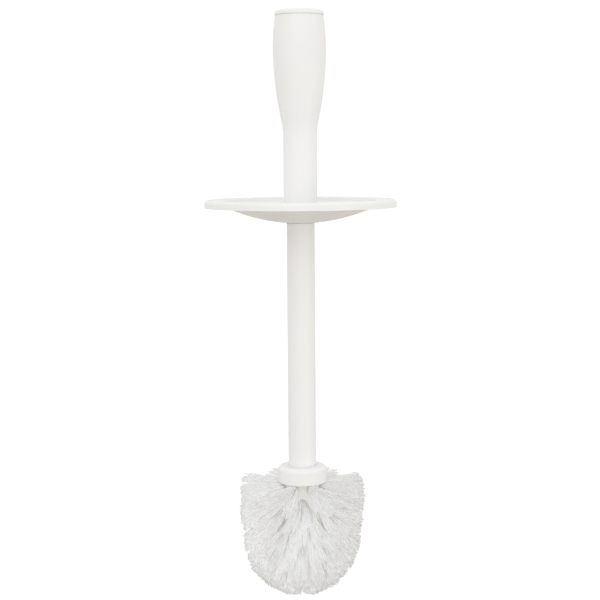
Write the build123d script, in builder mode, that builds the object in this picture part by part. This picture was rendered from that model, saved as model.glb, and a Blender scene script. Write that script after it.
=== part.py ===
from build123d import *
import os
from math import asin, cos, degrees, radians, sin, sqrt

# Toilet brush with a lid disc, a hollow handle and a screw-on brush head, in millimetres.
# It stands upright with its axis on Z. The origin is at its lowest point, the tips of the
# bristles, and its front faces -Y.

os.makedirs("parts", exist_ok=True)

# Levels along the axis
total_height = 370.0
grip_top = 366.6
belly_level = 347.0
web_top = 271.0
grip_bottom = 242.4
tube_top = 238.25
collar_top = 83.5
tube_bottom = 79.0
seat_level = 77.5
collar_bottom = 73.0
core_centre_level = 44.0

# Clearances
running_clearance = 0.08
glue_gap = 0.05
seat_gap = 0.05
thread_clearance = 0.3
flank_clearance = 0.35

# Handle grip
neck_radius = 10.55
belly_radius = 16.5
waist_arc_radius = 38.0
belly_arc_radius = 212.0
crown_arc_radius = 124.0
mouth_bore_radius = 13.4
mouth_bore_depth = 8.6
web_thickness = 4.0
web_hole_radius = 2.75
cavity_foot_radius = 8.0
cavity_waist = (10.2, 303.0)
cavity_top_radius = 13.2

# End cap
cap_radius = 15.3
cap_crown = 0.5
skirt_radius = mouth_bore_radius - 0.1
skirt_wall = 1.8
skirt_length = 8.0
bead_radius = 0.5
bead_level = grip_top - 5.5

# Shaft tube and its plugs
tube_radius = 8.8
tube_bore_radius = 7.0
plug_radius = tube_bore_radius - glue_gap
upper_plug_bottom = 210.0
upper_plug_top = web_top - web_thickness - 0.3
flat_distance = 5.8
flat_bottom = grip_bottom - 0.1
lower_plug_top = 105.0
plug_core_radius = 4.6
plug_core_depth = 20.0
plug_chamfer = 0.5

# Handle screw
screw_radius = 2.0
screw_head_radius = 4.75
screw_head_height = 3.2
screw_length = 30.0
washer_radius = 6.0
washer_thickness = 1.0
cross_length = 4.6
cross_width = 1.1
cross_depth = 1.9

# Lid disc
lid_radius = 60.2
lid_wall = 2.3
dish_arc_radius = 113.0
dish_edge_radius = 47.5
hub_radius = 9.6
hub_boss_radius = 12.0
hub_bottom = tube_top + 0.2
hub_top = grip_bottom - 0.2
ledge_level = 250.1
skirt_inner_radius = 57.6
lid_skirt_bottom = 248.0
lid_top = 253.0
gate_angle = -126.4
gate_radius = 0.8
gate_height = 0.5

# Head screw: two starts, so that three turns let the head go
lead = 7.0
starts = 2
stud_radius = 4.2
thread_height = 1.0
tooth_root_width = 1.6
tooth_crest_width = 0.7
stud_bottom = 62.0
stud_thread_level = stud_bottom + 0.8
stud_thread_length = 13.2

# Seal ring
seal_inner_radius = 5.7
seal_outer_radius = 8.7

# Head core
core_radius = 12.5
collar_radius = 15.4
counterbore_radius = tube_radius + 0.2
threaded_hole_bottom = 60.0

# Bristle tufts
hole_radius = 2.25
tuft_radius = 2.2
hole_depth = 5.6
root_depth = hole_depth - 0.1
anchor_width = 4.2
anchor_height = 2.0
anchor_thickness = 0.4
anchor_gap = 0.05
brush_radius = 38.5
end_flat_radius = 11.0
brush_shoulder_radius = 40.2
brush_shoulder_level = 73.0
brush_top = 79.0
tuft_overrun = 1.12
straight_root = 2.9

# Each row of tufts: count, angle of the first from +X, root and tip as (radius, level),
# and the radius of the fan of bristle at the tip
tuft_rows = [
    (8, 22.5, (core_radius, 70.0), (39.0, 65.4), 8.8),
    (8, 0.0, (core_radius, 61.3), (38.6, 49.2), 8.8),
    (8, 22.5, (core_radius, 52.4), (37.6, 31.8), 8.8),
    (8, 0.0, (core_radius, 43.5), (31.2, 14.8), 8.3),
    (8, 22.5, (9.6, 36.0), (22.6, 5.8), 6.7),
    (4, 45.0, (5.0, 32.5), (12.0, 0.9), 5.2),
]


def outward(angle):
    """Unit vector square to the axis, at an angle from +X."""
    return Vector(cos(radians(angle)), sin(radians(angle)), 0)


def thread_tooth(path, angle, height, root_width, crest_width):
    """Section of one thread tooth, across the start of its helix."""
    root_overlap = 0.3
    with BuildSketch(Plane(origin=path @ 0, x_dir=outward(angle), z_dir=path % 0)) as tooth:
        with BuildLine():
            Polyline(
                (-root_overlap, -root_width / 2),
                (0, -root_width / 2),
                (height, -crest_width / 2),
                (height, crest_width / 2),
                (0, root_width / 2),
                (-root_overlap, root_width / 2),
                close=True,
            )
        make_face()
    return tooth.sketch


def helical_thread(start_level, length, height, root_width, crest_width):
    """The teeth of the head screw, each swept along its own helix."""
    teeth = []
    for start in range(starts):
        angle = 360 * start / starts
        start_plane = Plane(origin=(0, 0, start_level), x_dir=outward(angle), z_dir=(0, 0, 1))
        with BuildLine(start_plane) as path:
            Helix(pitch=lead, height=length, radius=stud_radius)
        section = thread_tooth(path.line, angle, height, root_width, crest_width)
        with BuildPart() as tooth:
            sweep(sections=section, path=path.line, is_frenet=True)
        teeth.append(tooth.part)
    return teeth


def tuft_plane(angle, root, tip):
    """Plane at a tuft's root on the core, with its Z along the tuft."""
    up = Vector(0, 0, 1)
    origin = outward(angle) * root[0] + up * root[1]
    along = outward(angle) * (tip[0] - root[0]) + up * (tip[1] - root[1])
    return Plane(origin=origin, x_dir=up.cross(outward(angle)), z_dir=along)


def row_planes(count, first_angle, root, tip):
    """The planes of all the tufts in one row."""
    return [tuft_plane(first_angle + 360 * turn / count, root, tip) for turn in range(count)]


# Handle grip: a straight neck, a waist and a long belly, hollow from its open mouth down to
# the web that the screw pulls on, with a D-shaped socket below the web
arc_sum = waist_arc_radius + belly_arc_radius
swing_width = arc_sum - (belly_radius - neck_radius)
swing = degrees(asin(sqrt(arc_sum**2 - swing_width**2) / arc_sum))
waist_level = belly_level - arc_sum * sin(radians(swing))
crown_swing = degrees(asin((grip_top - belly_level) / crown_arc_radius))

with BuildPart() as handle_grip:
    with BuildSketch(Plane.XZ) as grip_profile:
        with BuildLine():
            neck = Line((neck_radius, grip_bottom), (neck_radius, waist_level))
            waist = JernArc(neck @ 1, (0, 1), waist_arc_radius, -swing)
            belly = JernArc(waist @ 1, waist % 1, belly_arc_radius, swing)
            crown = JernArc(belly @ 1, (0, 1), crown_arc_radius, crown_swing)
            Polyline(crown @ 1, (0, grip_top), (0, grip_bottom), neck @ 0)
        make_face()
        outer_corners = grip_profile.vertices().filter_by(lambda v: v.X > 1)
        fillet(outer_corners.sort_by(Axis.Y)[-1], radius=0.5)
        fillet(outer_corners.sort_by(Axis.Y)[0], radius=0.4)
    revolve(axis=Axis.Z)
    with BuildSketch(Plane.XZ) as cavity_profile:
        with BuildLine():
            Polyline(
                (0, web_top),
                (cavity_foot_radius, web_top),
                (cavity_foot_radius, waist_level),
                cavity_waist,
                (cavity_top_radius, grip_top - mouth_bore_depth),
                (mouth_bore_radius, grip_top - mouth_bore_depth),
                (mouth_bore_radius, grip_top),
                (0, grip_top),
                close=True,
            )
        make_face()
    revolve(axis=Axis.Z, mode=Mode.SUBTRACT)
    with BuildSketch(Plane.XZ) as bead_groove:
        with Locations((skirt_radius - 0.1, bead_level)):
            Circle(bead_radius + 0.1)
    revolve(axis=Axis.Z, mode=Mode.SUBTRACT)
    with BuildSketch(Plane.XY.offset(grip_bottom)) as socket:
        Circle(plug_radius + running_clearance)
        with Locations((flat_distance + running_clearance, 0)):
            Rectangle(2 * plug_radius, 2 * plug_radius, align=(Align.MIN, Align.CENTER),
                      mode=Mode.SUBTRACT)
    extrude(amount=web_top - web_thickness - grip_bottom, mode=Mode.SUBTRACT)
    with BuildSketch(Plane.XY.offset(web_top)) as web_hole:
        Circle(web_hole_radius)
    extrude(amount=-web_thickness, mode=Mode.SUBTRACT)
handle_grip.part.label = "handle_grip"

# End cap: a low crown on a flange, and a skirt whose bead snaps into the grip's groove
with BuildPart() as end_cap:
    with BuildSketch(Plane.XZ) as cap_profile:
        with BuildLine():
            side = Line((cap_radius, grip_top), (cap_radius, total_height - cap_crown))
            crown_end = (0, total_height)
            crown = TangentArc(crown_end, side @ 1, tangent=(1, 0))
            Polyline(crown @ 0, (0, grip_top), side @ 0)
        make_face()
        rim_corners = cap_profile.vertices().filter_by(lambda v: v.X > 1)
        fillet(rim_corners.sort_by(Axis.Y)[-1], radius=2.0)
        chamfer(rim_corners.sort_by(Axis.Y)[0], length=0.35)
    revolve(axis=Axis.Z)
    with BuildSketch(Plane.XY.offset(grip_top)) as skirt:
        Circle(skirt_radius)
        Circle(skirt_radius - skirt_wall, mode=Mode.SUBTRACT)
    extrude(amount=-skirt_length)
    with BuildSketch(Plane.XZ) as bead:
        with Locations((skirt_radius - 0.1, bead_level)):
            Circle(bead_radius)
    revolve(axis=Axis.Z)
end_cap.part.label = "end_cap"

# Washer and screw that pull the grip down on the upper plug
with BuildPart() as screw_washer:
    with BuildSketch(Plane.XY.offset(web_top)) as washer_ring:
        Circle(washer_radius)
        Circle(screw_radius + 0.2, mode=Mode.SUBTRACT)
    extrude(amount=washer_thickness)
screw_washer.part.label = "screw_washer"

screw_seat = web_top + washer_thickness
with BuildPart() as handle_screw:
    with BuildSketch(Plane.XY.offset(screw_seat)) as screw_head:
        Circle(screw_head_radius)
    extrude(amount=screw_head_height)
    fillet(handle_screw.edges().sort_by(Axis.Z)[-1], radius=1.6)
    with BuildSketch(Plane.XY.offset(screw_seat)) as shank:
        Circle(screw_radius)
    extrude(amount=-screw_length)
    chamfer(handle_screw.edges().sort_by(Axis.Z)[0], length=1.2)
    with BuildSketch(Plane.XY.offset(screw_seat + screw_head_height)) as cross_recess:
        Rectangle(cross_length, cross_width)
        Rectangle(cross_width, cross_length)
    extrude(amount=-cross_depth, mode=Mode.SUBTRACT)
handle_screw.part.label = "handle_screw"

# Upper plug: fixed in the tube's top, it carries the lid and fills the grip's D socket
with BuildPart() as upper_plug:
    with BuildSketch(Plane.XY.offset(upper_plug_bottom)) as plug_body:
        Circle(plug_radius)
    extrude(amount=upper_plug_top - upper_plug_bottom)
    chamfer(upper_plug.edges().filter_by(GeomType.CIRCLE), length=plug_chamfer)
    with BuildSketch(Plane.XY.offset(flat_bottom)) as drive_flat:
        with Locations((flat_distance, 0)):
            Rectangle(2 * plug_radius, 4 * plug_radius, align=(Align.MIN, Align.CENTER))
    extrude(amount=upper_plug_top - flat_bottom, mode=Mode.SUBTRACT)
    with BuildSketch(Plane.XY.offset(upper_plug_top)) as pilot_hole:
        Circle(screw_radius + glue_gap)
    extrude(amount=-(screw_length - 2.0), mode=Mode.SUBTRACT)
    with BuildSketch(Plane.XY.offset(upper_plug_bottom)) as plug_core:
        Circle(plug_core_radius)
    extrude(amount=plug_core_depth, mode=Mode.SUBTRACT)
upper_plug.part.label = "upper_plug"

# Shaft tube: its top end is the shoulder that the lid turns on
with BuildPart() as shaft_tube:
    with BuildSketch(Plane.XY.offset(tube_bottom)) as tube_section:
        Circle(tube_radius)
        Circle(tube_bore_radius, mode=Mode.SUBTRACT)
    extrude(amount=tube_top - tube_bottom)
shaft_tube.part.label = "shaft_tube"

# Lid disc: a dished shell with a hub, a flat ledge and a turned-down rim
dish_centre = hub_bottom + sqrt(dish_arc_radius**2 - hub_radius**2)
inner_arc_radius = dish_arc_radius - lid_wall


def dish_level(arc_radius, radius):
    """Height of one face of the dish at a distance from the axis."""
    return dish_centre - sqrt(arc_radius**2 - radius**2)


ledge_top = ledge_level + lid_wall
with BuildPart() as lid_disc:
    with BuildSketch(Plane.XZ) as lid_profile:
        with BuildLine():
            under_start = (hub_radius, hub_bottom)
            under_end = (dish_edge_radius, dish_level(dish_arc_radius, dish_edge_radius))
            RadiusArc(under_start, under_end, -dish_arc_radius)
            Polyline(
                under_end,
                (dish_edge_radius, ledge_level),
                (skirt_inner_radius, ledge_level),
                (skirt_inner_radius, lid_skirt_bottom),
                (lid_radius, lid_skirt_bottom),
                (lid_radius, lid_top),
                (skirt_inner_radius, lid_top),
                (skirt_inner_radius - 0.6, ledge_top),
                (dish_edge_radius + 0.4, ledge_top),
            )
            over_start = (hub_boss_radius, dish_level(inner_arc_radius, hub_boss_radius))
            over_end = (dish_edge_radius, dish_level(inner_arc_radius, dish_edge_radius))
            Line((dish_edge_radius + 0.4, ledge_top), over_end)
            RadiusArc(over_start, over_end, -inner_arc_radius)
            bore = plug_radius + running_clearance
            Polyline(over_start, (hub_boss_radius, hub_top), (bore, hub_top),
                     (bore, hub_bottom), under_start)
        make_face()
        rim_corners = lid_profile.vertices().group_by(Axis.X)[-1].sort_by(Axis.Y)
        fillet(rim_corners[-1], radius=2.2)
        fillet(rim_corners[0], radius=2.0)
    revolve(axis=Axis.Z)
    with BuildSketch(Plane.XY.offset(lid_skirt_bottom + 1)) as gate:
        with PolarLocations(lid_radius - 1.2, 1, start_angle=gate_angle):
            Circle(gate_radius)
    extrude(amount=-(1 + gate_height))
lid_disc.part.label = "lid_disc"

# Lower plug: fixed in the tube's bottom, with the stud that the head screws on
with BuildPart() as lower_plug:
    with BuildSketch(Plane.XY.offset(tube_bottom)) as lower_body:
        Circle(plug_radius)
    extrude(amount=lower_plug_top - tube_bottom)
    chamfer(lower_plug.edges().sort_by(Axis.Z)[-1], length=plug_chamfer)
    with BuildSketch(Plane.XY.offset(tube_bottom)) as stud:
        Circle(stud_radius)
    extrude(amount=stud_bottom - tube_bottom)
    chamfer(lower_plug.edges().sort_by(Axis.Z)[0], length=0.6)
    add(helical_thread(stud_thread_level, stud_thread_length, thread_height,
                       tooth_root_width, tooth_crest_width))
    with BuildSketch(Plane.XY.offset(lower_plug_top)) as lower_core:
        Circle(plug_core_radius)
    extrude(amount=-plug_core_depth, mode=Mode.SUBTRACT)
lower_plug.part.label = "lower_plug"

# Seal ring: closes the joint between the tube's end and the head's counterbore
with BuildPart() as seal_ring:
    with BuildSketch(Plane.XY.offset(seat_level + seat_gap)) as seal_section:
        Circle(seal_outer_radius)
        Circle(seal_inner_radius, mode=Mode.SUBTRACT)
    extrude(amount=tube_bottom - seat_level - 2 * seat_gap)
seal_ring.part.label = "seal_ring"

# Head core: collar, round-ended core, threaded hole and one blind hole for each tuft
with BuildPart() as head_core:
    with BuildSketch(Plane.XZ) as core_profile:
        with BuildLine():
            core_end = CenterArc((0, core_centre_level), core_radius, -90, 90)
            Polyline(
                core_end @ 1,
                (core_radius, collar_bottom),
                (collar_radius, collar_bottom),
                (collar_radius, collar_top),
                (0, collar_top),
                core_end @ 0,
            )
        make_face()
        collar_corners = core_profile.vertices().group_by(Axis.X)[-1].sort_by(Axis.Y)
        fillet(collar_corners[-1], radius=2.8)
        fillet(collar_corners[0], radius=0.6)
    revolve(axis=Axis.Z)
    with BuildSketch(Plane.XY.offset(collar_top)) as counterbore:
        Circle(counterbore_radius)
    extrude(amount=seat_level - collar_top, mode=Mode.SUBTRACT)
    with BuildSketch(Plane.XY.offset(seat_level)) as threaded_hole:
        Circle(stud_radius + thread_clearance)
    extrude(amount=threaded_hole_bottom - seat_level, mode=Mode.SUBTRACT)
    grooves = helical_thread(stud_thread_level - lead, seat_level - stud_thread_level + 2 * lead,
                             thread_height + thread_clearance,
                             tooth_root_width + 2 * flank_clearance,
                             tooth_crest_width + 2 * flank_clearance)
    with BuildSketch(Plane.XY.offset(threaded_hole_bottom)) as threaded_length:
        Circle(stud_radius + thread_height + 2 * thread_clearance)
    thread_zone = extrude(amount=seat_level - threaded_hole_bottom, mode=Mode.PRIVATE)
    for groove in grooves:
        add(groove & thread_zone, mode=Mode.SUBTRACT)
    for count, first_angle, root, tip, _ in tuft_rows:
        for plane in row_planes(count, first_angle, root, tip):
            with BuildSketch(plane.offset(-hole_depth)) as tuft_hole:
                Circle(hole_radius)
            extrude(amount=2 * hole_depth, mode=Mode.SUBTRACT)
head_core.part.label = "head_core"

# Bristle tufts: each is folded round its anchor in the core and fans out to the brush's
# rounded outline, where its ends are trimmed
end_swing = degrees(asin(end_flat_radius / brush_radius))
end_centre_level = brush_radius * cos(radians(end_swing))

with BuildPart() as brush_outline:
    with BuildSketch(Plane.XZ) as outline_profile:
        with BuildLine():
            round_end = CenterArc((0, end_centre_level), brush_radius, end_swing - 90, 90 - end_swing)
            Polyline(
                round_end @ 1,
                (brush_shoulder_radius, brush_shoulder_level),
                (brush_shoulder_radius, brush_top),
                (0, brush_top),
                (0, 0),
                round_end @ 0,
            )
        make_face()
    revolve(axis=Axis.Z)


def make_tuft_row(count, first_angle, root, tip, tip_radius):
    """One row of tufts, with the slot that each anchor fills."""
    length = tuft_overrun * sqrt((tip[0] - root[0]) ** 2 + (tip[1] - root[1]) ** 2)
    with BuildPart() as row:
        for plane in row_planes(count, first_angle, root, tip):
            with BuildSketch(plane.offset(straight_root)) as neck:
                Circle(tuft_radius)
            with BuildSketch(plane.offset(length)) as fan:
                Circle(tip_radius * tuft_overrun)
            loft()
        add(brush_outline.part, mode=Mode.INTERSECT)
        for plane in row_planes(count, first_angle, root, tip):
            with BuildSketch(plane.offset(straight_root)) as folded_root:
                Circle(tuft_radius)
            extrude(amount=-(straight_root + root_depth))
            with BuildSketch(plane.offset(-root_depth)) as anchor_slot:
                Rectangle(2 * tuft_radius, anchor_thickness + 2 * anchor_gap)
            extrude(amount=anchor_height + 2 * anchor_gap, mode=Mode.SUBTRACT)
    return row


for number, (count, first_angle, root, tip, tip_radius) in enumerate(tuft_rows, start=1):
    tuft_row = make_tuft_row(count, first_angle, root, tip, tip_radius)
    tuft_row.part.label = f"tuft_row_{number}"
    export_step(tuft_row.part, f"parts/tuft_row_{number}.step")

# Anchors: a flat of wire at the bottom of each hole, across the fold of its tuft
with BuildPart() as tuft_anchors:
    for count, first_angle, root, tip, _ in tuft_rows:
        for plane in row_planes(count, first_angle, root, tip):
            with BuildSketch(plane.offset(anchor_gap - root_depth)) as wire_flat:
                Rectangle(anchor_width, anchor_thickness)
            extrude(amount=anchor_height)
tuft_anchors.part.label = "tuft_anchors"

export_step(end_cap.part, "parts/end_cap.step")
export_step(handle_grip.part, "parts/handle_grip.step")
export_step(handle_screw.part, "parts/handle_screw.step")
export_step(screw_washer.part, "parts/screw_washer.step")
export_step(upper_plug.part, "parts/upper_plug.step")
export_step(shaft_tube.part, "parts/shaft_tube.step")
export_step(lid_disc.part, "parts/lid_disc.step")
export_step(lower_plug.part, "parts/lower_plug.step")
export_step(seal_ring.part, "parts/seal_ring.step")
export_step(head_core.part, "parts/head_core.step")
export_step(tuft_anchors.part, "parts/tuft_anchors.step")
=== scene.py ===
import math

import bmesh
import bpy
import numpy as np
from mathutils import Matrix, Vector


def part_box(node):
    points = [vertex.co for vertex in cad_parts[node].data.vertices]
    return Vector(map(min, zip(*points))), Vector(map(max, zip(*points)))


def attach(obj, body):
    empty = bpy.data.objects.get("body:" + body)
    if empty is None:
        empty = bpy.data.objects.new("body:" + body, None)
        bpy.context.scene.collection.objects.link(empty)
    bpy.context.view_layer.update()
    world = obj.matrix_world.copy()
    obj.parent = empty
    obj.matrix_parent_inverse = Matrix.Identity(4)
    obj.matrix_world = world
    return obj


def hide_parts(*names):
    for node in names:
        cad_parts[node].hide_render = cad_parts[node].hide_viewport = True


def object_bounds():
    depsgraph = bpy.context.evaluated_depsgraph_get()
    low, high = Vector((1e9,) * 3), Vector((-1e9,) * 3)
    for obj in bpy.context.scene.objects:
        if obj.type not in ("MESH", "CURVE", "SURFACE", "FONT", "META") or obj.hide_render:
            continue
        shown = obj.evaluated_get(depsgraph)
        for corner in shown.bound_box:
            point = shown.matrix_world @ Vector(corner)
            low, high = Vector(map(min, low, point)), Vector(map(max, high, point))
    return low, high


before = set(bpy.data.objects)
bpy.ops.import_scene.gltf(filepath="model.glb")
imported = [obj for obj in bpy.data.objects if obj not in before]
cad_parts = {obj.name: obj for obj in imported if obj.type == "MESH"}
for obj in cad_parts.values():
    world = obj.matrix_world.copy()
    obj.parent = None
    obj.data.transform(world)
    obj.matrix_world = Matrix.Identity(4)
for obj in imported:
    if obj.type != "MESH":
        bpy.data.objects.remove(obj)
cad_low, cad_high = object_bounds()

MM = 0.001

# What each tuft is made of
FILAMENTS_PER_TUFT = 230
FILAMENT_RADIUS = 0.24 * MM
FILAMENT_SIDES = 3
FILAMENT_STEPS = 16
ROOT_RADIUS = 1.95 * MM          # of the bundle in its hole
ROOT_TO_MOUTH = 4.45 * MM        # from an anchor's middle to the mouth of its hole
SUNK = 2.0 * MM                  # how deep in the hole the modelled filaments start
CRIMP_LENGTH = 7.5 * MM
CRIMP_SIZE = 0.22 * MM
ROW_FANS = [(24, 15), (22, 15), (22, 15), (19, 14), (15, 12), (9, 8)]    # half angles, in
# degrees, of the fan that a tuft of each row opens into: round the brush, and up and down it
LOCKS = 9                        # bunches that the ends of one tuft gather into
LOCK_PULL = 0.6
EDGE_DROP = 0.06                 # how much shorter a fan's outermost filaments are
LEAN_SPREAD = 0.06               # how unevenly filaments lean, as a share of the fan
TILT_SPREAD = math.radians(1.6)  # how unevenly whole tufts point
REACH_SPREAD = 0.012             # how unevenly filaments are trimmed, as a share of length
BEND_SPREAD = 0.55 * MM          # how far a filament's end strays by its slow bend
SETTLE = 6 * MM                  # the crimp grows to its full size over this length
LONGEST = 55 * MM                # no filament is longer
HALVINGS = 24                    # of that length, to find where a filament is trimmed
GOLDEN_ANGLE = 2.399963          # spreads places evenly over a round bundle
SEED = 7

# The head that carries them
CORE_RADIUS = 12.0 * MM
COLLAR_BOTTOM = 73.0 * MM
PAINTED_SHADE_FADE = 1.2 * MM          # over which painted shade greys the core, just below its collar

# How light reaches a place among the filaments; it is painted into their colour as shade
CELL = 1.6 * MM
SHADE_STEPS = [s * MM for s in (1.2, 2.4, 4, 6, 9, 13, 18, 24)]
OPAQUE = 1e9                     # a crowd that no light gets through
SHADE_PER_FILAMENT = 0.16 * MM   # the light that each filament across a square metre takes off


# ---------------------------------------------------------------- materials

def node_material(name, roughness, subsurface=0.0, subsurface_scale=0.0, metallic=0.0, ior=1.49):
    """A new material, with its nodes, links and Principled shader."""
    material = bpy.data.materials.new(name)
    material.use_nodes = True
    nodes, links = material.node_tree.nodes, material.node_tree.links
    shader = nodes["Principled BSDF"]
    shader.inputs["Roughness"].default_value = roughness
    shader.inputs["Metallic"].default_value = metallic
    shader.inputs["IOR"].default_value = ior
    shader.inputs["Subsurface Weight"].default_value = subsurface
    shader.inputs["Subsurface Scale"].default_value = subsurface_scale
    shader.inputs["Subsurface Radius"].default_value = (1.0, 0.8, 0.6)
    return material, nodes, links, shader


def place_noise(nodes, links, scale, detail=2.0, stretch=(1, 1, 1)):
    """Noise that stays with the object, with its features 1/scale metres across."""
    where = nodes.new("ShaderNodeTexCoord")
    mapping = nodes.new("ShaderNodeMapping")
    mapping.inputs["Scale"].default_value = stretch
    noise = nodes.new("ShaderNodeTexNoise")
    noise.inputs["Scale"].default_value = scale
    noise.inputs["Detail"].default_value = detail
    links.new(where.outputs["Object"], mapping.inputs["Vector"])
    links.new(mapping.outputs["Vector"], noise.inputs["Vector"])
    return noise.outputs["Fac"]


def colour_between(nodes, links, factor, low, high, from_low=0.3, from_high=0.7):
    """A colour ramp from low to high, driven by factor."""
    ramp = nodes.new("ShaderNodeValToRGB")
    ramp.color_ramp.elements[0].position = from_low
    ramp.color_ramp.elements[0].color = (*low, 1)
    ramp.color_ramp.elements[1].position = from_high
    ramp.color_ramp.elements[1].color = (*high, 1)
    links.new(factor, ramp.inputs["Fac"])
    return ramp.outputs["Color"]


def remap(nodes, links, factor, low, high):
    """factor from 0.3..0.7 to low..high."""
    node = nodes.new("ShaderNodeMapRange")
    node.inputs["From Min"].default_value = 0.3
    node.inputs["From Max"].default_value = 0.7
    node.inputs["To Min"].default_value = low
    node.inputs["To Max"].default_value = high
    links.new(factor, node.inputs["Value"])
    return node.outputs["Result"]


def add_bump(nodes, links, shader, height, strength, distance):
    bump = nodes.new("ShaderNodeBump")
    bump.inputs["Strength"].default_value = strength
    bump.inputs["Distance"].default_value = distance
    links.new(height, bump.inputs["Height"])
    links.new(bump.outputs["Normal"], shader.inputs["Normal"])


def moulded_plastic(name, low, high, roughness, grain, grain_depth, stretch=(1, 1, 1)):
    """Satin moulded polypropylene: a trace of cloudiness, uneven gloss and a fine skin texture."""
    material, nodes, links, shader = node_material(name, roughness, 0.12, 1.5 * MM)
    cloud = place_noise(nodes, links, 26, 3.0, stretch)
    links.new(colour_between(nodes, links, cloud, low, high), shader.inputs["Base Color"])
    gloss = place_noise(nodes, links, 60, 4.0, stretch)
    links.new(remap(nodes, links, gloss, roughness - 0.05, roughness + 0.06),
              shader.inputs["Roughness"])
    skin = place_noise(nodes, links, grain, 2.0, stretch)
    add_bump(nodes, links, shader, skin, 0.35, grain_depth)
    return material


def plastic_with_painted_shade(name, low, high, roughness, grain, grain_depth, level):
    """Moulded plastic with painted shade: its colour greys below a level, where bristles keep the
    light off it.
    """
    material = moulded_plastic(name, low, high, roughness, grain, grain_depth)
    nodes, links = material.node_tree.nodes, material.node_tree.links
    shader = nodes["Principled BSDF"]
    plain = shader.inputs["Base Color"].links[0].from_socket
    where, height = nodes.new("ShaderNodeTexCoord"), nodes.new("ShaderNodeSeparateXYZ")
    links.new(where.outputs["Object"], height.inputs["Vector"])
    share = nodes.new("ShaderNodeMapRange")
    share.inputs["From Min"].default_value = level - PAINTED_SHADE_FADE
    share.inputs["From Max"].default_value = level
    links.new(height.outputs["Z"], share.inputs["Value"])
    shade = nodes.new("ShaderNodeMix")
    shade.data_type, shade.blend_type = "RGBA", "MULTIPLY"
    shade.inputs["Factor"].default_value = 1.0
    links.new(plain, shade.inputs["A"])
    # painted shade: the base colour is multiplied down to a warm grey below the level
    links.new(colour_between(nodes, links, share.outputs["Result"], (0.87, 0.85, 0.825), (1, 1, 1),
                             0.0, 1.0), shade.inputs["B"])
    links.new(shade.outputs["Result"], shader.inputs["Base Color"])
    return material


def bristle_plastic():
    """Crimped white filament: each has its own tone, and painted shade greys it where others
    shelter it from the light.
    """
    material, nodes, links, shader = node_material("bristle_filament", 0.5)
    tone, lit = nodes.new("ShaderNodeAttribute"), nodes.new("ShaderNodeAttribute")
    tone.attribute_name, lit.attribute_name = "tone", "lit"
    shade = nodes.new("ShaderNodeMix")
    shade.data_type, shade.blend_type = "RGBA", "MULTIPLY"
    shade.inputs["Factor"].default_value = 1.0
    links.new(colour_between(nodes, links, tone.outputs["Fac"], (0.85, 0.855, 0.86),
                             (0.995, 0.998, 1.0), 0.0, 1.0), shade.inputs["A"])
    # painted shade: the colour greys to a warm grey where the filaments around take the light off
    links.new(colour_between(nodes, links, lit.outputs["Fac"], (0.62, 0.605, 0.58),
                             (1, 1, 1), 0.01, 0.16), shade.inputs["B"])
    links.new(shade.outputs["Result"], shader.inputs["Base Color"])
    gloss = place_noise(nodes, links, 300, 2.0)
    links.new(remap(nodes, links, gloss, 0.30, 0.48), shader.inputs["Roughness"])
    return material


def brushed_steel(name, stretch):
    material, nodes, links, shader = node_material(name, 0.3, metallic=1.0, ior=2.5)
    lines = place_noise(nodes, links, 900, 4.0, stretch)
    links.new(colour_between(nodes, links, lines, (0.48, 0.48, 0.49), (0.66, 0.66, 0.66)),
              shader.inputs["Base Color"])
    links.new(remap(nodes, links, lines, 0.22, 0.4), shader.inputs["Roughness"])
    add_bump(nodes, links, shader, lines, 0.2, 0.02 * MM)
    return material


def seal_rubber():
    material, nodes, links, shader = node_material("seal_rubber", 0.7, ior=1.52)
    cloud = place_noise(nodes, links, 400, 4.0)
    links.new(colour_between(nodes, links, cloud, (0.40, 0.40, 0.39), (0.52, 0.52, 0.51)),
              shader.inputs["Base Color"])
    links.new(remap(nodes, links, cloud, 0.6, 0.8), shader.inputs["Roughness"])
    add_bump(nodes, links, shader, cloud, 0.3, 0.03 * MM)
    return material


def dress(node, material):
    """Gives a CAD node its finished material."""
    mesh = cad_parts[node].data
    mesh.materials.clear()
    mesh.materials.append(material)


WHITE_LOW, WHITE_HIGH = (0.864, 0.862, 0.856), (0.878, 0.877, 0.872)
handle_plastic = moulded_plastic("handle_plastic", WHITE_LOW, WHITE_HIGH, 0.44, 2600, 0.02 * MM)
cap_plastic = moulded_plastic("cap_plastic", WHITE_LOW, WHITE_HIGH, 0.40, 2600, 0.02 * MM)
lid_plastic = moulded_plastic("lid_plastic", WHITE_LOW, WHITE_HIGH, 0.36, 1800, 0.015 * MM)
tube_plastic = moulded_plastic("tube_plastic", WHITE_LOW, WHITE_HIGH, 0.38, 900, 0.02 * MM,
                               stretch=(1, 1, 0.05))
# the head core's colour carries painted shade below its collar, where the bristles shade it
head_plastic = plastic_with_painted_shade("head_plastic", WHITE_LOW, WHITE_HIGH, 0.42, 2200, 0.02 * MM,
                                 level=COLLAR_BOTTOM)
plug_plastic = moulded_plastic("plug_plastic", WHITE_LOW, WHITE_HIGH, 0.45, 1500, 0.02 * MM)
filament_plastic = bristle_plastic()

for node, material in {
    "handle_grip": handle_plastic,
    "end_cap": cap_plastic,
    "lid_disc": lid_plastic,
    "shaft_tube": tube_plastic,
    "head_core": head_plastic,
    "upper_plug": plug_plastic,
    "lower_plug": plug_plastic,
    "handle_screw": brushed_steel("screw_steel", (1, 1, 0.1)),
    "screw_washer": brushed_steel("washer_steel", (0.1, 1, 1)),
    "tuft_anchors": brushed_steel("anchor_steel", (1, 1, 0.2)),
    "seal_ring": seal_rubber(),
}.items():
    dress(node, material)


# ---------------------------------------------------------------- bristles

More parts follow.
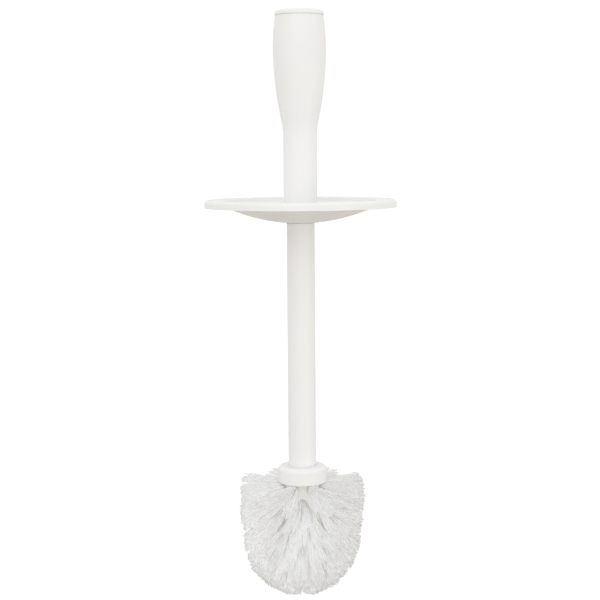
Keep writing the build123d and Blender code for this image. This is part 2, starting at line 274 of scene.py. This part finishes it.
def loose_solids(node):
    """The corners of each separate solid in a CAD node, as arrays."""
    shape = bmesh.new()
    shape.from_mesh(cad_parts[node].data)
    bmesh.ops.remove_doubles(shape, verts=shape.verts, dist=0.001 * MM)
    left = dict.fromkeys(shape.verts)        # keeps their order, so every run is the same
    solids = []
    while left:
        reached = [next(iter(left))]
        del left[reached[0]]
        for vert in reached:
            for edge in vert.link_edges:
                other = edge.other_vert(vert)
                if other in left:
                    del left[other]
                    reached.append(other)
        solids.append(np.array([v.co[:] for v in reached]))
    shape.free()
    return solids


def read_tufts():
    """Each tuft's hole mouth and direction, from its anchor, in rows from the top down."""
    tufts = []
    for corners in loose_solids("tuft_anchors"):
        sides = sorted(corners[1:] - corners[0], key=np.linalg.norm)
        along = sides[1] / np.linalg.norm(sides[1])
        middle = corners.mean(0)
        if along[:2] @ middle[:2] < 0:
            along = -along
        tufts.append((middle + along * ROOT_TO_MOUTH, along))
    tufts.sort(key=lambda tuft: (-round(tuft[0][2] / MM, 1), math.atan2(tuft[0][1], tuft[0][0])))
    rows = [[]]
    for tuft in tufts:
        if rows[-1] and rows[-1][-1][0][2] - tuft[0][2] > MM:
            rows.append([])
        rows[-1].append(tuft)
    return rows


# The brush's trimmed outline: a round end, and sides that widen a little towards the top
END_RADIUS = 38.5 * MM
END_CENTRE = 37.5 * MM
SHOULDER_RADIUS = 41.4 * MM
OFF_CENTRE = 1.3 * MM            # the end is trimmed this far off the axis


def outside(points):
    """How far points are outside the brush's trimmed outline (negative inside)."""
    level = points[..., 2]
    aside = OFF_CENTRE * (1 - level / COLLAR_BOTTOM)
    across = np.hypot(points[..., 0] + aside, points[..., 1])
    rise = np.clip((level - END_CENTRE) / (COLLAR_BOTTOM - END_CENTRE), 0, 1)
    side = across - (END_RADIUS + (SHOULDER_RADIUS - END_RADIUS) * rise)
    end = np.maximum(np.hypot(across, level - END_CENTRE) - END_RADIUS, 0.3 * MM - level)
    return np.where(level > END_CENTRE, side, end)


def fan_paths(rng, mouth, along, fan):
    """Centre lines of the filaments of one tuft, as an array (filament, step, xyz)."""
    count = FILAMENTS_PER_TUFT
    across = np.cross((0, 0, 1), along)
    across /= np.linalg.norm(across)
    upward = np.cross(along, across)

    # Places in the bundle, and the lock of ends that each filament leans to
    share = np.sqrt((np.arange(count) + 0.5) / count)
    turn = np.arange(count) * GOLDEN_ANGLE + rng.uniform(0, math.tau)
    place = np.stack([share * np.cos(turn), share * np.sin(turn)], 1)
    lean = place + rng.normal(0, LEAN_SPREAD, place.shape)
    lock_share, lock_turn = np.sqrt(rng.uniform(0.02, 1, LOCKS)), rng.uniform(0, math.tau, LOCKS)
    locks = np.stack([lock_share * np.cos(lock_turn), lock_share * np.sin(lock_turn)], 1)
    nearest = np.argmin(np.linalg.norm(lean[:, None] - locks[None], axis=2), axis=1)
    lean += LOCK_PULL * (locks[nearest] - lean) * rng.uniform(0.5, 1, (count, 1))
    tilt = rng.normal(0, TILT_SPREAD, 2)
    slope_across = np.tan(lean[:, 0] * math.radians(fan[0]) + tilt[0])
    slope_upward = np.tan(lean[:, 1] * math.radians(fan[1]) + tilt[1])

    # Straight fan lines first, to find where each meets the trimmed outline
    start = (mouth - along * SUNK + ROOT_RADIUS * (
        place[:, :1] * across + place[:, 1:] * upward))
    direction = along + slope_across[:, None] * across + slope_upward[:, None] * upward
    direction /= np.linalg.norm(direction, axis=1)[:, None]
    reach = np.full(count, LONGEST)
    near = np.zeros(count)
    for _ in range(HALVINGS):
        middle = (near + reach) / 2
        out = outside(start + direction * middle[:, None]) > 0
        reach = np.where(out, middle, reach)
        near = np.where(out, near, middle)
    edge = np.linalg.norm(lean, axis=1)
    reach *= 1 - EDGE_DROP * np.clip(edge, 0, 1.2) ** 2 + rng.normal(0, REACH_SPREAD, count)

    # Then the crimp and a slow bend
    step = np.linspace(0, 1, FILAMENT_STEPS + 1)
    travel = reach[:, None] * step[None]
    wave_turn = rng.uniform(0, math.tau, count)
    wave = np.cos(wave_turn)[:, None] * across + np.sin(wave_turn)[:, None] * upward
    phase = rng.uniform(0, math.tau) + rng.normal(0, 0.8, count)
    pitch = CRIMP_LENGTH * rng.normal(1, 0.05, count)
    settle = np.clip(travel / SETTLE, 0, 1)
    sway = CRIMP_SIZE * settle * np.sin(math.tau * travel / pitch[:, None] + phase[:, None])
    bend = rng.normal(0, BEND_SPREAD, (count, 2))
    bend_way = bend[:, :1] * across + bend[:, 1:] * upward
    return (start[:, None] + direction[:, None] * travel[..., None]
            + wave[:, None] * sway[..., None]
            + bend_way[:, None] * (step ** 2)[None, :, None])


def light_among(rows_of_paths):
    """The share of the light round the brush that reaches each point of each row's paths."""
    points = np.concatenate([paths.reshape(-1, 3) for paths in rows_of_paths])
    steps = np.concatenate([np.repeat(np.linalg.norm(paths[:, -1] - paths[:, 0], axis=1)
                                      / FILAMENT_STEPS, paths.shape[1])
                            for paths in rows_of_paths])
    low = points.min(0) - 2 * CELL
    cells = ((points.max(0) - low) / CELL).astype(int) + 3
    crowd = np.zeros(cells)
    np.add.at(crowd, tuple(((points - low) / CELL).astype(int).T), steps / CELL ** 3)
    for axis in range(3):
        crowd = (np.roll(crowd, 1, axis) + 2 * crowd + np.roll(crowd, -1, axis)) / 4

    # The core and its collar stop light altogether
    centre = [low[axis] + (np.arange(cells[axis]) + 0.5) * CELL for axis in range(3)]
    x, y, z = np.meshgrid(*centre, indexing="ij")
    core_low, core_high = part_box("head_core")
    from_core = np.hypot(np.hypot(x, y), np.minimum(z - core_low.z - CORE_RADIUS, 0))
    in_collar = (np.hypot(x, y) < core_high.x) & (z > COLLAR_BOTTOM)
    crowd[(from_core < CORE_RADIUS) | in_collar] = OPAQUE

    ways = np.array([(a, b, c) for a in (-1, 0, 1) for b in (-1, 0, 1) for c in (-1, 0, 1)
                     if (a, b, c) != (0, 0, 0)], float)
    ways /= np.linalg.norm(ways, axis=1)[:, None]
    lit, whole = np.zeros(len(points)), 0.0
    for way in ways:
        sky = 0.75 + 0.25 * way[2]
        whole += sky
        passed, last = np.zeros(len(points)), 0.0
        for step in SHADE_STEPS:
            index = ((points + way * step - low) / CELL).astype(int)
            inside = ((index >= 0) & (index < cells)).all(1)
            index = np.clip(index, 0, cells - 1)
            passed += np.where(inside, crowd[tuple(index.T)], 0) * (step - last)
            last = step
        lit += sky * np.exp(-SHADE_PER_FILAMENT * passed)
    lit /= whole
    ends = np.cumsum([paths.shape[0] * paths.shape[1] for paths in rows_of_paths])[:-1]
    return np.split(lit, ends)


def filament_mesh(name, paths, tones, lit):
    """One mesh of closed tubes along the paths."""
    count, rings = paths.shape[:2]
    overall = paths[:, -1] - paths[:, 0]
    overall /= np.linalg.norm(overall, axis=1)[:, None]
    side = np.cross(overall, (0.3, 0.5, 0.81))
    side /= np.linalg.norm(side, axis=1)[:, None]
    other = np.cross(overall, side)
    turn = np.arange(FILAMENT_SIDES) * math.tau / FILAMENT_SIDES
    ring = (np.cos(turn)[None, :, None] * side[:, None]
            + np.sin(turn)[None, :, None] * other[:, None]) * FILAMENT_RADIUS
    points = (paths[:, :, None] + ring[:, None]).reshape(-1, 3)

    first = (np.arange(count) * rings * FILAMENT_SIDES)[:, None, None]
    level = (np.arange(rings - 1) * FILAMENT_SIDES)[None, :, None]
    here = np.arange(FILAMENT_SIDES)[None, None]
    ahead = (here + 1) % FILAMENT_SIDES
    walls = np.stack([first + level + here, first + level + ahead,
                      first + level + FILAMENT_SIDES + ahead,
                      first + level + FILAMENT_SIDES + here], -1).reshape(-1, 4)
    corner = np.arange(FILAMENT_SIDES)
    starts = first[:, 0] + corner[::-1][None]
    ends = first[:, 0] + (rings - 1) * FILAMENT_SIDES + corner[None]
    faces = walls.tolist() + starts.tolist() + ends.tolist()

    mesh = bpy.data.meshes.new(name)
    mesh.from_pydata(points.tolist(), [], faces)
    mesh.polygons.foreach_set("use_smooth", np.arange(len(faces)) < len(walls))
    tone = mesh.attributes.new("tone", "FLOAT", "POINT")
    tone.data.foreach_set("value", np.repeat(tones, rings * FILAMENT_SIDES).astype(np.float32))
    light = mesh.attributes.new("lit", "FLOAT", "POINT")
    light.data.foreach_set("value", np.repeat(lit, FILAMENT_SIDES).astype(np.float32))
    mesh.materials.append(filament_plastic)
    piece = bpy.data.objects.new(name, mesh)
    bpy.context.scene.collection.objects.link(piece)
    return piece


def make_bristles():
    rng = np.random.default_rng(SEED)
    rows_of_paths = [
        np.concatenate([fan_paths(rng, mouth, along, fan) for mouth, along in row])
        for row, fan in zip(read_tufts(), ROW_FANS)]
    for number, (paths, lit) in enumerate(zip(rows_of_paths, light_among(rows_of_paths)), start=1):
        tones = rng.uniform(0, 1, len(paths))
        piece = filament_mesh(f"bristle_row_{number}", paths, tones, lit)
        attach(piece, "brush_head")
        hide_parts(f"tuft_row_{number}")
        piece.visible_shadow = False
        piece.visible_diffuse = False


make_bristles()


# ---------------------------------------------------------------- stage, light and camera

def white_stage(name, mesh_maker, glow, diffuse):
    """A stage surface that only the camera sees, so that it doesn't light the object."""
    mesh = bpy.data.meshes.new(name)
    shape = bmesh.new()
    mesh_maker(shape)
    shape.to_mesh(mesh)
    shape.free()
    material, nodes, links, shader = node_material(name, 1.0)
    shader.inputs["Base Color"].default_value = (diffuse, diffuse, diffuse, 1)
    shader.inputs["Emission Color"].default_value = (1, 1, 1, 1)
    shader.inputs["Emission Strength"].default_value = glow
    shader.inputs["Specular IOR Level"].default_value = 0
    mesh.materials.append(material)
    surface = bpy.data.objects.new(name, mesh)
    bpy.context.scene.collection.objects.link(surface)
    surface.visible_diffuse = False
    surface.visible_glossy = False
    surface.visible_transmission = False
    surface.visible_shadow = False
    return surface


STAGE_RADIUS = 6.0
floor = white_stage("floor", lambda shape: bmesh.ops.create_circle(
    shape, cap_ends=True, segments=96, radius=STAGE_RADIUS), 1.0, 0.1)
floor.location.z = cad_low.z
white_stage("backdrop", lambda shape: bmesh.ops.create_uvsphere(
    shape, u_segments=96, v_segments=48, radius=STAGE_RADIUS), 1.05, 0.0)


LOW_HEIGHT, LOW_LIGHT = 0.26, (0.62, 0.585, 0.525)      # heights run from 0 below to 1 above
HIGH_HEIGHT, HIGH_LIGHT = 0.52, (0.93, 0.93, 0.93)


def studio_world():
    """Soft light from all round, bright above and dimmer and warmer below."""
    world = bpy.data.worlds.new("studio")
    bpy.context.scene.world = world
    world.use_nodes = True
    nodes, links = world.node_tree.nodes, world.node_tree.links
    where = nodes.new("ShaderNodeTexCoord")
    height = nodes.new("ShaderNodeSeparateXYZ")
    ramp = nodes.new("ShaderNodeValToRGB")
    ramp.color_ramp.elements[0].position = LOW_HEIGHT
    ramp.color_ramp.elements[0].color = (*LOW_LIGHT, 1)
    ramp.color_ramp.elements[1].position = HIGH_HEIGHT
    ramp.color_ramp.elements[1].color = (*HIGH_LIGHT, 1)
    scale = nodes.new("ShaderNodeMapRange")
    scale.inputs["From Min"].default_value = -1
    scale.inputs["From Max"].default_value = 1
    links.new(where.outputs["Generated"], height.inputs["Vector"])
    links.new(height.outputs["Z"], scale.inputs["Value"])
    links.new(scale.outputs["Result"], ramp.inputs["Fac"])
    links.new(ramp.outputs["Color"], nodes["Background"].inputs["Color"])


def soft_box(name, location, target, size, power):
    light = bpy.data.lights.new(name, "AREA")
    light.shape = "RECTANGLE"
    light.size, light.size_y = size
    light.energy = power
    lamp = bpy.data.objects.new(name, light)
    lamp.location = location
    lamp.rotation_euler = (Vector(target) - Vector(location)).to_track_quat("-Z", "Y").to_euler()
    lamp.visible_camera = False
    bpy.context.scene.collection.objects.link(lamp)


studio_world()
middle = (cad_low + cad_high) / 2
soft_box("key", (-0.25, -1.5, 0.7), middle, (1.2, 1.2), 4.1)
soft_box("low fill", (1.1, -0.9, -0.1), middle, (0.8, 0.8), 1.6)


# The camera stands a little above the lid and looks slightly down, and it is tipped a trace
EYE_DISTANCE = 0.848
EYE_SHIFT = -0.75 * MM
EYE_LEVEL = 0.2800
AIM_LEVEL = 0.1895
LENS = 80.9
ROLL = math.radians(-0.42)
camera_data = bpy.data.cameras.new("camera")
camera_data.lens = LENS
camera_data.sensor_width = 36
camera = bpy.data.objects.new("camera", camera_data)
camera.location = (EYE_SHIFT, -EYE_DISTANCE, EYE_LEVEL)
look = Vector((EYE_SHIFT, 0, AIM_LEVEL)) - camera.location
facing = look.to_track_quat("-Z", "Y").to_matrix()
camera.rotation_euler = facing.to_euler()
camera.rotation_euler.rotate_axis("Z", ROLL)
bpy.context.scene.collection.objects.link(camera)
bpy.context.scene.camera = camera
bpy.context.scene.view_settings.view_transform = "Standard"
